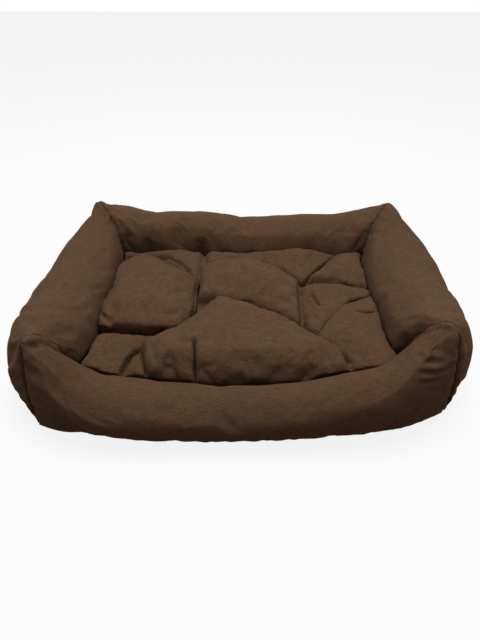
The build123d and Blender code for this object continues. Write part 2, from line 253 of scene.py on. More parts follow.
def write_points(mesh, points):
    """Puts positions in millimetres back on a mesh."""
    mesh.vertices.foreach_set("co", (points * MM).reshape(-1))
    mesh.update()


def read_normals(mesh):
    """A mesh's vertex normals."""
    normals = np.zeros(len(mesh.vertices) * 3)
    mesh.vertex_normals.foreach_get("vector", normals)
    return normals.reshape(-1, 3)


def mesh_from(form, name):
    """A new mesh with what a form holds. The form is used up."""
    mesh = bpy.data.meshes.new(name)
    form.to_mesh(mesh)
    form.free()
    return mesh


def new_piece(name, mesh):
    """A new object with this mesh, in the scene."""
    piece = bpy.data.objects.new(name, mesh)
    bpy.context.scene.collection.objects.link(piece)
    return piece


def settle(piece, modifier_type, **settings):
    """Applies one modifier to a piece's mesh."""
    modifier = piece.modifiers.new("settle", modifier_type)
    for name, value in settings.items():
        setattr(modifier, name, value)
    graph = bpy.context.evaluated_depsgraph_get()
    mesh = bpy.data.meshes.new_from_object(piece.evaluated_get(graph))
    piece.modifiers.remove(modifier)
    piece.data = mesh


def relax(piece, rounds, factor=0.5):
    """Evens out a mesh's small roughness."""
    form = bmesh.new()
    form.from_mesh(piece.data)
    for _ in range(rounds):
        bmesh.ops.smooth_vert(
            form, verts=form.verts, factor=factor, use_axis_x=True, use_axis_y=True, use_axis_z=True
        )
    form.to_mesh(piece.data)
    form.free()


def puff_up(piece, hold, pressure, growth, frames, most):
    """Runs cloth with air inside it. hold is how firmly each vertex stays, from 0 to 1, and no
    vertex moves further than most, in millimetres."""
    group = piece.vertex_groups.new(name="held")
    steps = np.round(hold, 2)
    for weight in np.unique(steps):
        group.add([int(k) for k in np.nonzero(steps == weight)[0]], float(weight), "REPLACE")
    cloth = piece.modifiers.new("stuffing", "CLOTH")
    settings = cloth.settings
    settings.quality = 5
    settings.mass = 0.25
    settings.tension_stiffness = 25
    settings.compression_stiffness = 25
    settings.shear_stiffness = 8
    settings.bending_stiffness = 1.0
    settings.air_damping = 2
    settings.use_pressure = True
    settings.uniform_pressure_force = pressure
    settings.shrink_min = -growth
    settings.vertex_group_mass = "held"
    settings.pin_stiffness = 1
    settings.effector_weights.gravity = 0
    cloth.collision_settings.use_collision = False
    cloth.point_cache.frame_start = 1
    cloth.point_cache.frame_end = frames
    before = read_points(piece.data)
    for step in range(1, frames + 1):
        bpy.context.scene.frame_set(step)
    graph = bpy.context.evaluated_depsgraph_get()
    move = read_points(piece.evaluated_get(graph).data) - before
    piece.modifiers.remove(cloth)
    piece.vertex_groups.remove(group)
    bpy.context.scene.frame_set(1)
    move *= np.minimum(1, most / np.maximum(np.linalg.norm(move, axis=1, keepdims=True), 1e-9))
    write_points(piece.data, before + move)


def draw_in(points, walls, clearance):
    """Draws points in towards the middle of the nest, softly, until they stand clear of the walls
    round it. walls holds a piece with the axis and the sign of the way from the middle to it."""
    graph = bpy.context.evaluated_depsgraph_get()
    moved = points.copy()
    # Points beyond far_out are tried, and the push sets in softly, soft_band short of the limit.
    far_out, soft_band = 130, 9
    for wall, axis, sign in walls:
        tree = BVHTree.FromObject(wall, graph)
        way = Vector([sign * (k == axis) for k in range(3)])
        for k in np.nonzero(sign * points[:, axis] > far_out)[0]:
            start = moved[k].copy()
            start[axis] = 0
            spot, _, _, _ = tree.ray_cast(Vector(start * MM), way)
            if spot is None:
                continue
            limit = abs(spot[axis]) / MM - clearance
            over = abs(moved[k, axis]) - (limit - soft_band)
            if over > 0:
                moved[k, axis] = sign * (limit - soft_band * math.exp(-over / soft_band))
    return moved


def smooth_shaded(piece):
    """Shades a piece smooth."""
    piece.data.polygons.foreach_set("use_smooth", [True] * len(piece.data.polygons))
    return piece


# Bolsters

UP = np.array([0.0, 0.0, 1.0])
LEFT, RIGHT, BACK, FRONT = (-1, 0), (1, 0), (0, 1), (0, -1)

# Level of the bolsters' feet, on top of the base panel
rim_foot = 1.5
# How far each bolster's cloth stops short of the middle of its corner seams
seam_gap = 0.9
# How far inside its final shape the cloth starts, before it is puffed up
bolster_slack = 3.0
# Points along a half section's flat foot, its flank and its crest
FOOT_STEPS, FLANK_STEPS, CREST_STEPS = 6, 28, 12
# Unevenness of the stuffing, and the small wrinkles over it, as wavelengths and sizes
stuffing_waves = ((260, 2.0), (120, 1.1), (60, 0.5))
wrinkle_waves = ((48, 0.35), (24, 0.15))


def unit(way):
    """A flat direction of length 1."""
    way = np.array([way[0], way[1], 0.0])
    return way / np.linalg.norm(way)


def station(x, y, outward, height, inner, outer, tuck=45, crest=60):
    """One upright section of a bolster: its ridge, which ways its two halves face, and its shape.
    crest is where a half turns from its crown to its flank, and tuck how far it turns under."""
    return dict(
        ridge=np.array([x, y, 0.0]),
        outer_way=unit(outward),
        inner_way=-unit(outward),
        height=height,
        inner=inner,
        outer=outer,
        crest=dict(inner=math.radians(crest), outer=math.radians(crest)),
        tuck=dict(inner=math.radians(tuck), outer=math.radians(tuck)),
        lean=np.zeros(3),
    )


def front_corner(x, y, outward, inward, height, inner, outer, lean):
    """The section at a front corner's seam. Its inner half lies on the diagonal; its outer half is
    drawn round to the front, hangs nearly straight, and leans sideways towards its foot."""
    made = station(x, y, outward, height, inner, outer, tuck=24, crest=48)
    made["inner_way"] = unit(inward)
    made["crest"]["outer"] = math.radians(75)
    made["tuck"]["outer"] = math.radians(9)
    made["lean"] = np.array([lean[0], lean[1], 0.0])
    return made


def shoulder(corner, x, y, outward, height, inner, outer, tuck, turn=0.4):
    """A full section close to a corner, part turned towards the corner's seam."""
    made = station(x, y, outward, height, inner, outer, tuck)
    out = unit(outward)
    made["outer_way"] = unit(turn * corner["outer_way"] + (1 - turn) * out)
    made["inner_way"] = unit(turn * corner["inner_way"] - (1 - turn) * out)
    return made


# The stations of the four bolsters, read off the photograph. Neighbours share their corner's.
back_left = station(-345, 241, (-1, 1), 200, 78, 46, tuck=30, crest=50)
back_right = station(352, 241, (1, 1), 200, 84, 48, tuck=30, crest=50)
front_left = front_corner(-350, -250, (-0.12, -0.99), (1, 1), 190, 62, 33, (-12, 2))
front_right = front_corner(346, -227, (0.40, -0.92), (-1, 1), 206, 62, 36, (24, 18))

runs = {
    "left": [
        front_left,
        shoulder(front_left, -353, -205, LEFT, 183, 60, 63, 35),
        station(-354, -125, LEFT, 176, 67, 77, 45),
        station(-353, 0, LEFT, 169, 67, 78, 48),
        station(-348, 125, LEFT, 175, 62, 62, 42),
        back_left,
    ],
    "back": [
        back_left,
        station(-292, 241, BACK, 190, 58, 56, 38),
        station(-225, 241, BACK, 178, 57, 57),
        station(-115, 241, BACK, 171, 57, 57),
        station(0, 241, BACK, 162, 57, 57),
        station(115, 241, BACK, 165, 57, 57),
        station(230, 241, BACK, 171, 57, 57),
        station(300, 241, BACK, 186, 58, 56, 38),
        back_right,
    ],
    "right": [
        back_right,
        station(356, 135, RIGHT, 175, 70, 78, 42),
        station(355, 0, RIGHT, 169, 69, 84, 48),
        station(354, -105, RIGHT, 178, 68, 80, 45),
        shoulder(front_right, 349, -182, RIGHT, 196, 60, 66, 33),
        front_right,
    ],
    "front": [
        front_right,
        shoulder(front_right, 304, -247, FRONT, 186, 50, 43, 26),
        station(252, -264, FRONT, 151, 52, 50, 46),
        station(179, -272, FRONT, 127, 51, 50, 56),
        station(95, -277, FRONT, 108, 49, 50, 60),
        station(0, -280, FRONT, 101, 49, 50, 60),
        station(-144.5, -279, FRONT, 107, 50, 51, 60),
        station(-237, -273, FRONT, 117, 51, 51, 60),
        station(-275, -268, FRONT, 134, 48, 49, 45),
        shoulder(front_left, -314, -262, FRONT, 168, 42, 42, 22),
        front_left,
    ],
}


def half_section(where, side):
    """Points of one half of a section, from the middle of its foot round to its crest, as
    distances out from the ridge line and levels."""
    reach = where[side]
    height = where["height"] - rim_foot
    # An arc over the crest spans alpha and meets the flank's arc, which turns under by gamma.
    alpha, gamma = where["crest"][side], where["tuck"][side]
    fall = math.cos(alpha) + math.sin(gamma)
    spread = math.sin(alpha) - (1 - math.sin(alpha)) * (1 - math.cos(alpha)) / fall
    crest_radius = (reach - (1 - math.sin(alpha)) * height / fall) / spread
    flank_radius = (height - crest_radius * (1 - math.cos(alpha))) / fall
    centre_out = reach - flank_radius
    centre_up = flank_radius * math.sin(gamma)
    foot_out = centre_out + flank_radius * math.cos(gamma)
    points = [(foot_out * k / FOOT_STEPS, 0.0) for k in range(FOOT_STEPS)]
    for k in range(FLANK_STEPS):
        turn = -gamma + (math.pi / 2 - alpha + gamma) * k / FLANK_STEPS
        out, up = flank_radius * math.cos(turn), flank_radius * math.sin(turn)
        points.append((centre_out + out, centre_up + up))
    for k in range(CREST_STEPS + 1):
        lean = alpha * (1 - k / CREST_STEPS)
        points.append((crest_radius * math.sin(lean), height - crest_radius * (1 - math.cos(lean))))
    return points


def section_points(where):
    """The whole closed section in space, from the middle of the foot, out, over and back."""
    outer = [where["outer_way"] * out + UP * up for out, up in half_section(where, "outer")]
    inner = [where["inner_way"] * out + UP * up for out, up in half_section(where, "inner")]
    points = np.array(outer + inner[-2::-1])
    fade = np.clip(1 - points[:, 2] / where["height"], 0, 1) ** 2
    return where["ridge"] + UP * rim_foot + points + where["lean"] * fade[:, None]


def through(knots, values, wanted):
    """A natural cubic spline through rows of values at the knots, read at the wanted places."""
    n = len(knots)
    steps = np.diff(knots)
    system = np.eye(n)
    right = np.zeros_like(values)
    slopes = np.diff(values, axis=0) / steps.reshape(-1, *[1] * (values.ndim - 1))
    for k in range(1, n - 1):
        system[k, k - 1 : k + 2] = steps[k - 1], 2 * (steps[k - 1] + steps[k]), steps[k]
        right[k] = 6 * (slopes[k] - slopes[k - 1])
    bends = np.linalg.solve(system, right.reshape(n, -1)).reshape(values.shape)
    out = []
    for t in wanted:
        k = int(np.clip(np.searchsorted(knots, t) - 1, 0, n - 2))
        a, b, h = knots[k + 1] - t, t - knots[k], steps[k]
        out.append(
            (bends[k] * a**3 + bends[k + 1] * b**3) / (6 * h)
            + (values[k] / h - bends[k] * h / 6) * a
            + (values[k + 1] / h - bends[k + 1] * h / 6) * b
        )
    return np.array(out)


def bolster_form(run, spacing=6.0):
    """Rings of points along a bolster, and for each point its distance along the run and round
    the girth, all in millimetres."""
    sections = np.array([section_points(where) for where in run])
    ridges = np.array([where["ridge"] for where in run])
    knots = np.concatenate([[0], np.cumsum(np.linalg.norm(np.diff(ridges, axis=0), axis=1))])
    inside = np.linspace(seam_gap, knots[-1] - seam_gap, int(knots[-1] / spacing) + 1)
    rings = through(knots, sections, inside)
    girth = np.linalg.norm(np.diff(rings, axis=1), axis=2)
    round_girth = np.concatenate([np.zeros((len(rings), 1)), np.cumsum(girth, axis=1)], axis=1)
    along = np.repeat(inside[:, None], rings.shape[1], axis=1)
    return rings, along, round_girth


def outward_normals(rings):
    """Normals of a grid of rings, pointing out of the tube."""
    along = np.gradient(rings, axis=0)
    closed = np.concatenate([rings[:, -2:-1], rings, rings[:, 1:2]], axis=1)
    around = closed[:, 2:] - closed[:, :-2]
    normals = np.cross(around, along)
    normals /= np.maximum(np.linalg.norm(normals, axis=2, keepdims=True), 1e-9)
    if np.sum(normals * (rings - rings.mean(axis=1, keepdims=True))) < 0:
        normals = -normals
    return normals


def gathers(along, round_girth, end, rings):
    """Short gathers where the cloth is caught in the corner seams."""
    slant = round_girth + 0.35 * end
    long_pitch, short_pitch, reach = 31, 19, 22
    waves = np.sin(slant * (2 * np.pi / long_pitch)) + 0.6 * np.sin(slant * (2 * np.pi / short_pitch) + 1.3)
    fade = np.exp(-end / reach) * smoothstep(0, 5, end)
    return 1.3 * waves * fade * smoothstep(10, 50, rings[..., 2])


def bolster(name, run, weft_along, folds, *nodes):
    """A stuffed bolster: a grid rolled into a tube between two corner seams, shaped, then puffed."""
    rings, along, round_girth = bolster_form(run)
    rows, columns = rings.shape[:2]
    end = np.minimum(along - along[0, 0], along[-1, 0] - along)
    off_floor = smoothstep(8, 45, rings[..., 2])
    free = smoothstep(0, 30, end) * off_floor
    swell = crumple(rings, stuffing_waves, len(name) * 3 + 1) - bolster_slack
    swell = swell * free + gathers(along, round_girth, end, rings)
    shaped = rings + outward_normals(rings) * swell[..., None]
    shaped[..., 2] = np.maximum(shaped[..., 2], rim_foot)

    form = bmesh.new()
    bmesh.ops.create_grid(form, x_segments=rows - 1, y_segments=columns - 1, size=1)
    weave = form.loops.layers.uv.new("weave")
    places = {}
    for vertex in form.verts:
        i = round((vertex.co.x + 1) / 2 * (rows - 1))
        j = round((vertex.co.y + 1) / 2 * (columns - 1))
        places[vertex] = (i, j)
        vertex.co = Vector(shaped[i, j] * MM)
    for face in form.faces:
        for loop in face.loops:
            i, j = places[loop.vert]
            u, v = along[i, j] * MM, round_girth[i, j] * MM
            loop[weave].uv = (u, v) if weft_along else (v, u)
    bmesh.ops.remove_doubles(form, verts=form.verts, dist=0.00002)
    bmesh.ops.holes_fill(form, edges=[e for e in form.edges if e.is_boundary], sides=0)
    bmesh.ops.recalc_face_normals(form, faces=form.faces)
    piece = new_piece(name, mesh_from(form, name))

    points = read_points(piece.data)
    ends = np.concatenate([shaped[0], shaped[-1]])
    nearest = np.array([np.min(np.sum((ends - p) ** 2, axis=1)) for p in points]) ** 0.5
    # The cloth is held at the corner seams and where it lies on the floor.
    hold = np.maximum(1 - smoothstep(0.5, 7, nearest), 1 - smoothstep(4, 26, points[:, 2]))
    puff_up(piece, hold, pressure=2.2, growth=0.03, frames=12, most=6)
    settle(piece, "SUBSURF", levels=1, render_levels=1, use_limit_surface=False)
    points = read_points(piece.data)
    fine = folds(points) + crumple(points, wrinkle_waves, len(name))
    fine *= smoothstep(8, 45, points[:, 2])
    write_points(piece.data, points + read_normals(piece.data) * fine[:, None])
    dress(smooth_shaded(piece), bolster_cloth)
    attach(piece, "rim")
    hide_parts(*nodes)
    return piece


def front_folds(points):
    """The front bolster: a stack of pinched wrinkles at its right end, and at both ends a rolled
    edge with a groove behind it, where the cloth was tucked in along the corner's inner seam."""
    x, y, z = points.T
    pinch_x, pinch_level, pinch_pitch = 308, 154, 15.5
    phase = z + 0.2 * (x - pinch_x) - pinch_level
    wave = np.cos(phase * 2 * np.pi / pinch_pitch)
    pinches = (3.4 * (np.abs(wave) ** 0.7 * np.sign(wave))) * hump(x - pinch_x, 19) * hump(phase, 24)
    pinches *= smoothstep(-246, -260, y)
    # right and left are distances from the two corners' diagonals.
    right_x, right_y, _ = front_right["ridge"]
    right = -(x - right_x + y - right_y) / math.sqrt(2)
    right_roll = (2.6 * hump(right - 7, 4.5) - 2.6 * hump(right - 16, 3.5)) * smoothstep(-250, -236, y)
    left_x, left_y, _ = front_left["ridge"]
    left = (x - left_x - y + left_y) / math.sqrt(2)
    left_roll = (4.0 * hump(left - 8, 5) - 4.5 * hump(left - 18, 4)) * smoothstep(-272, -256, y)
    rolls = np.where(x > 0, right_roll, left_roll) * smoothstep(120, 150, z)
    return pinches + rolls


def side_folds(points):
    """The side bolsters: slack folds across the run near their front ends."""
    x, y, z = points.T
    slant = y + 0.35 * z
    top = smoothstep(70, 130, z)
    left = 2.0 * hump(slant + 62, 14) - 1.6 * hump(slant + 86, 10) + 1.4 * hump(slant + 110, 14)
    right = 1.0 * hump(slant - 12, 11) - 0.8 * hump(slant + 6, 9) + 0.8 * hump(slant + 26, 11)
    return np.where(x < 0, left, right) * top


def back_folds(points):
    """The back bolster: slack dents below its crest, near its ends."""
    x, y, z = points.T
    return -1.2 * (hump(x + 205, 12) + hump(x - 224, 14)) * smoothstep(95, 140, z)


folds_of = {"left": side_folds, "right": side_folds, "front": front_folds, "back": back_folds}
bolsters = [
    bolster(
        f"{side}_bolster",
        run,
        side in ("front", "back"),
        folds_of[side],
        f"{side}_bolster_cover",
        f"{side}_bolster_filling",
    )
    for side, run in runs.items()
]
left_bolster, back_bolster, right_bolster, front_bolster = bolsters
nest_walls = ((back_bolster, 1, 1), (front_bolster, 1, -1), (left_bolster, 0, -1), (right_bolster, 0, 1))


# Corner seams: the two cloth edges of each corner, sewn together and turned inside

corners = {
    "back_left": back_left,
    "back_right": back_right,
    "front_left": front_left,
    "front_right": front_right,
}
# How deep the band's outer edge lies under the covers, its width, and half its thickness
seam_depth, seam_allowance, seam_half = 3.4, 5.6, 1.7


def inset_section(where, inset):
    """A corner's section drawn in evenly."""
    drawn = dict(where, height=where["height"] - 2 * inset, inner=where["inner"] - inset)
    drawn["outer"] = where["outer"] - inset
    return section_points(drawn) + UP * inset


def corner_seam(corner, where):
    """A closed band of doubled cloth that follows the corner's section just under the covers."""
    across = np.cross(unit(where["outer_way"] - where["inner_way"]), UP)
    form = bmesh.new()
    loops = []
    inner_edge = seam_depth + seam_allowance
    for inset, side in ((seam_depth, -1), (seam_depth, 1), (inner_edge, 1), (inner_edge, -1)):
        points = inset_section(where, inset)[:-1] + across * side * seam_half
        verts = [form.verts.new(Vector(p * MM)) for p in points]
        loops.append([form.edges.new((a, b)) for a, b in zip(verts, verts[1:] + verts[:1])])
    for first, second in zip(loops, loops[1:] + loops[:1]):
        bmesh.ops.bridge_loops(form, edges=first + second)
    bmesh.ops.recalc_face_normals(form, faces=form.faces)
    name = f"{corner}_seam"
    piece = dress(smooth_shaded(new_piece(name, mesh_from(form, name))), seam_cloth)
    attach(piece, "rim")
    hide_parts(f"{corner}_corner_seam")


for corner, where in corners.items():
    corner_seam(corner, where)


# Top stitching beside the two front corner seams, sewn by hand after filling

stitch_length, stitch_pitch, stitch_radius, stitch_offset = 3.4, 5.2, 0.5, 4.5


def topstitch(corner, where, carrier, count, first):
    """A row of short stitches that lies on the front bolster, beside a corner's inner seam."""
    graph = bpy.context.evaluated_depsgraph_get()
    tree = BVHTree.FromObject(carrier, graph)
    aside = np.array([-np.sign(where["ridge"][0]) * stitch_offset, -stitch_offset, 0.0])
    crown = section_points(where)[FOOT_STEPS + FLANK_STEPS + CREST_STEPS :] + aside
    run = np.concatenate([[0], np.cumsum(np.linalg.norm(np.diff(crown, axis=0), axis=1))])
    form = bmesh.new()
    for k in range(count):
        ends = []
        for at in (first + k * stitch_pitch, first + k * stitch_pitch + stitch_length):
            near = Vector([np.interp(at, run, crown[:, axis]) * MM for axis in range(3)])
            spot, normal, _, _ = tree.find_nearest(near)
            ends.append(spot + normal * stitch_radius * 0.4 * MM)
        made = bmesh.ops.create_icosphere(form, subdivisions=2, radius=stitch_radius * MM)["verts"]
        way = ends[1] - ends[0]
        stretch = way.length / (2 * stitch_radius * MM)
        bmesh.ops.scale(form, verts=made, vec=(1, 1, stretch))
        bmesh.ops.rotate(form, verts=made, matrix=way.to_track_quat("Z", "Y").to_matrix())
        bmesh.ops.translate(form, verts=made, vec=(ends[0] + ends[1]) / 2)
    name = f"{corner}_topstitch"
    piece = dress(smooth_shaded(new_piece(name, mesh_from(form, name))), stitch_thread)
    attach(piece, "rim")


topstitch("front_right", front_right, front_bolster, 11, 4)
topstitch("front_left", front_left, front_bolster, 9, 6)


# Base: a panel of plain cloth under the rim, and a padded floor sewn in between the bolsters


def foot_line(column):
    """The line that one column of points makes round all four bolsters, as seen from above."""
    return np.concatenate([bolster_form(run)[0][:-1, column, :2] for run in runs.values()])


def drawn_in(outline, inset):
    """An outline moved inwards, or outwards where inset is negative."""
    way = np.roll(outline, -1, axis=0) - np.roll(outline, 1, axis=0)
    side = np.stack([way[:, 1], -way[:, 0]], axis=1) / np.linalg.norm(way, axis=1, keepdims=True)
    return outline + side * inset


def slab(name, outline, low, high):
    """A flat piece with this outline between two levels."""
    form = bmesh.new()
    form.faces.new([form.verts.new((x * MM, y * MM, low * MM)) for x, y in outline])
    raised = bmesh.ops.extrude_face_region(form, geom=form.faces[:])["geom"]
    verts = [v for v in raised if isinstance(v, bmesh.types.BMVert)]
    bmesh.ops.translate(form, verts=verts, vec=(0, 0, (high - low) * MM))
    bmesh.ops.recalc_face_normals(form, faces=form.faces)
    bmesh.ops.triangulate(form, faces=form.faces)
    return new_piece(name, mesh_from(form, name))


panel_outline = drawn_in(foot_line(FOOT_STEPS), 1.5)[::2]
panel = dress(slab("base_panel", panel_outline, 0.0, 1.3), base_cloth)
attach(panel, "rim")
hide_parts("base_bottom_panel")

pad_outline = drawn_in(foot_line(-1 - FOOT_STEPS), 1.0)[::2]
pad = slab("floor_pad", pad_outline, 1.8, 10.6)
settle(pad, "REMESH", mode="VOXEL", voxel_size=0.0042)
relax(pad, 3)
points = read_points(pad.data)
points[:, 2] += crumple(points, ((150, 0.5), (60, 0.3)), 5) * smoothstep(4, 9, points[:, 2])
points[:, 2] = np.clip(points[:, 2], 1.7, 10.9)
write_points(pad.data, draw_in(points, nest_walls, 0.4))
dress(smooth_shaded(pad), base_cloth)
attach(pad, "rim")
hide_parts("base_padding", "base_top_panel")


# Loose cushion

# Half the size of the block that the cushion starts as, and how round its edges are
cushion_half = np.array([292.0, 213.0, 50.0])
edge_radius = 20.0
cushion_middle_y = -21.0
# Levels of its underside, of the seam round its sides, and of its top in the creases
cushion_bottom = 12.3
cushion_equator = 58.0
crease_level = 76.0
# A puff gains the first share of its rise within a narrow edge, and the rest towards its crown.
puff_edge, edge_share = 11, 0.6
# Slack wrinkles over the puffs, as wavelengths and sizes
slack_waves = ((95, 1.5), (46, 0.9), (23, 0.35))
# Where the rear side stands under the zip's tapes, and the level of the zip's middle
zip_wall = 158.4
zip_level = 25.4

# The filling has gathered into puffs. Each row gives a puff's top level, how broadly its crown
# rounds over, the slope of its top, and its outline as seen from above.
puffs = {
    "rear_left": (
        120, 95, (-0.02, 0.0),
        ((-340, -104), (-278, -103), (-180, -108), (-118, -102), (-103, -66), (-101, 60), (-152, 104),
         (-200, 143), (-232, 164), (-262, 142), (-292, 96), (-302, 40), (-340, 20)),
    ),
    "rear_middle": (
        116, 80, (0.0, 0.0),
        ((-91, -14), (-50, -14), (20, -20), (54, -42), (90, -72), (120, -100), (128, -60), (129, 44),
         (90, 106), (44, 134), (-14, 145), (-62, 132), (-91, 108)),
    ),
    "front_middle": (
        119, 85, (0.0, 0.06),
        ((-52, -20), (16, -42), (58, -66), (108, -104), (142, -130), (170, -158), (184, -178), (200, -224),
         (204, -270), (-164, -270), (-166, -225), (-178, -195), (-190, -160), (-160, -138), (-126, -116),
         (-90, -76)),
    ),
    "front_left": (
        92, 45, (0.0, 0.03),
        ((-340, -116), (-240, -116), (-146, -122), (-176, -134), (-200, -160), (-207, -184), (-214, -208),
         (-214, -270), (-340, -270)),
    ),
    "left_rib": (
        86, 16, (0.0, 0.06),
        ((-198, -164), (-191, -163), (-180, -196), (-168, -226), (-168, -270), (-208, -270), (-208, -206)),
    ),
    "rear_strip": (
        100, 45, (0.0, 0.0),
        ((-88, 230), (-88, 122), (-60, 140), (-14, 151), (46, 140), (94, 112), (132, 66), (178, 126),
         (226, 186), (240, 230)),
    ),
    "rear_notch": (
        99, 30, (0.0, 0.0),
        ((-340, 230), (-330, 150), (-268, 160), (-236, 176), (-196, 154), (-148, 114), (-100, 70),
         (-95, 112), (-95, 230)),
    ),
    "rear_right": (
        100, 50, (0.0, 0.0),
        ((139, 68), (156, 79), (208, 76), (216, 72), (250, 54), (290, 42), (340, 42), (340, 230),
         (246, 230), (233, 186), (184, 124)),
    ),
    "right_fold": (
        100, 34, (0.10, -0.10),
        ((134, 54), (156, 70), (210, 60), (249, 42), (290, 30), (340, 30), (340, 20), (289, 20),
         (238, 1), (214, -14), (192, -43), (162, -82), (143, -120), (126, -100), (132, -60)),
    ),
    "front_right": (
        99, 50, (0.0, 0.02),
        ((146, -130), (165, -88), (196, -50), (216, -21), (239, -6), (289, 12), (340, 12), (340, -270),
         (210, -270), (205, -222), (188, -176), (174, -157)),
    ),
}

# Sharp folds, each with its depth, half width, how far the cloth on the left of its route rolls
# over it, and its route as seen from above.
creases = (
    (20, 6, 9, ((-292, -108), (-250, -105), (-180, -110), (-114, -106))),
    (16, 5, 3, ((-110, -96), (-102, -66), (-96, -28), (-95, 15), (-96, 62), (-106, 76))),
    (22, 7, 0, ((-60, -18), (-20, -24), (18, -30), (52, -52), (90, -84), (126, -108))),
    (12, 6, 0, ((-58, -26), (-92, -78), (-130, -118), (-164, -138), (-196, -162), (-208, -188),
                (-214, -226))),
    (12, 5, -5, ((-191, -160), (-178, -195), (-166, -232))),
    (30, 6.5, 0, ((-85, -168), (-81, -202), (-79, -244))),
    (5, 9, 0, ((-106, -162), (-96, -196), (-88, -232))),
    (15, 4, 4, ((131, 60), (179, 124), (232, 190))),
    (7, 6, 0, ((134, 61), (156, 74), (210, 68))),
    (18, 6, 0, ((212, 67), (232, 60), (252, 49))),
    (6, 5, 0, ((250, 49), (296, 36))),
    (19, 5, 9, ((143, -126), (163, -86), (194, -47), (215, -18), (238, -2), (292, 17))),
    (8, 4, 0, ((149, 24), (158, -15), (167, -42))),
    (9, 9, 0, ((131, 52), (124, 18), (122, -62), (124, -100))),
    (7, 4, 3, ((224, -64), (250, -73), (276, -66))),
    (13, 4, 0, ((148, -130), (168, -147), (182, -179), (196, -218))),
    (8, 4, 0, ((188, -168), (197, -189), (206, -206))),
    (8, 5, 0, ((-212, 164), (-166, 150), (-140, 125), (-114, 90))),
    (14, 5, 4, ((-262, 152), (-236, 170), (-202, 148), (-159, 109), (-104, 64))),
    (10, 7, 0, ((-93, 116), (-62, 137), (-15, 147), (45, 137), (92, 109), (130, 60))),
    (7, 5, 3, ((-282, -84), (-262, -94), (-240, -96))),
    (4, 9, 0, ((-8, 84), (4, 55), (2, 26))),
)


def edge_distance(points, outline):
    """Distance of plan points from an outline, positive inside it."""
    corners = np.array(outline, float)
    best = np.full(len(points), 1e9)
    inside = np.zeros(len(points), bool)
    for start, end in zip(corners, np.roll(corners, -1, axis=0)):
        way = end - start
        t = np.clip(((points - start) @ way) / (way @ way), 0, 1)
        best = np.minimum(best, np.linalg.norm(points - start - t[:, None] * way, axis=1))
        crosses = (start[1] > points[:, 1]) != (end[1] > points[:, 1])
        with np.errstate(divide="ignore", invalid="ignore"):
            at = start[0] + (points[:, 1] - start[1]) * way[0] / way[1]
        inside ^= crosses & (points[:, 0] < at)
    return np.where(inside, best, -best)


def quarter_round(t):
    """Rises like a quarter circle from 0 to 1."""
    return np.sqrt(1 - (1 - np.clip(t, 0, 1)) ** 2)


def crumpled_top(plan):
    """Level of the cushion's top at plan points, and how deep inside a puff each lies."""
    level = np.full(len(plan), crease_level)
    depth = np.zeros(len(plan))
    for top, crown, slope, outline in puffs.values():
        inside = np.maximum(edge_distance(plan, outline), 0)
        middle = np.mean(np.clip(np.array(outline, float), -cushion_half[0], cushion_half[0]), axis=0)
        rise = top - crease_level + (plan - middle) @ np.array(slope)
        swell = edge_share * quarter_round(inside / puff_edge)
        here = crease_level + rise * (swell + (1 - edge_share) * quarter_round(inside / crown))
        level = np.maximum(level, here)
        depth = np.maximum(depth, inside)
    return level, depth


def press_creases(points, normals):
    """Presses the sharp folds into the top of the cushion, rolling the cloth over them."""
    on_top = smoothstep(60, 74, points[:, 2]) * smoothstep(0.05, 0.35, normals[:, 2])
    moved = points.copy()
    for depth, width, roll, route in creases:
        best = np.full(len(points), 1e9)
        offset = np.zeros((len(points), 2))
        side = np.zeros(len(points))
        place = np.zeros(len(points))
        run = 0.0
        route = np.array(route, float)
        for start, end in zip(route, route[1:]):
            way = end - start
            length = np.linalg.norm(way)
            t = np.clip(((points[:, :2] - start) @ way) / length**2, 0, 1)
            gap = points[:, :2] - start - t[:, None] * way
            far = np.linalg.norm(gap, axis=1)
            nearer = far < best
            best = np.where(nearer, far, best)
            offset = np.where(nearer[:, None], gap, offset)
            side = np.where(nearer, np.sign(way[0] * gap[:, 1] - way[1] * gap[:, 0]), side)
            place = np.where(nearer, run + t * length, place)
            run += length
        fade = smoothstep(0, 16, place) * smoothstep(0, 16, run - place) * on_top
        moved[:, 2] -= 1.35 * depth * hump(best, 0.85 * width) * fade
        puckers = np.abs(np.sin(place * (np.pi / 23) + depth)) ** 0.6 - 0.7
        moved[:, 2] += 0.13 * depth * puckers * hump(best - 2.2 * width, 1.7 * width) * fade
        # The lips of a fold are drawn together, so that it is narrower at its mouth than inside.
        lips = smoothstep(4, 14, np.full(len(points), depth)) * hump(best - width, 0.85 * width) * fade
        moved[:, :2] -= offset * (0.6 * lips)[:, None]
        if roll:
            over = np.where(side > 0, hump(best - 1.3 * width, 1.1 * width), 0) * fade
            toward = -offset / np.maximum(best, 1e-6)[:, None]
            moved[:, :2] += toward * (roll * over)[:, None]
            moved[:, 2] += 0.35 * abs(roll) * over
    return moved


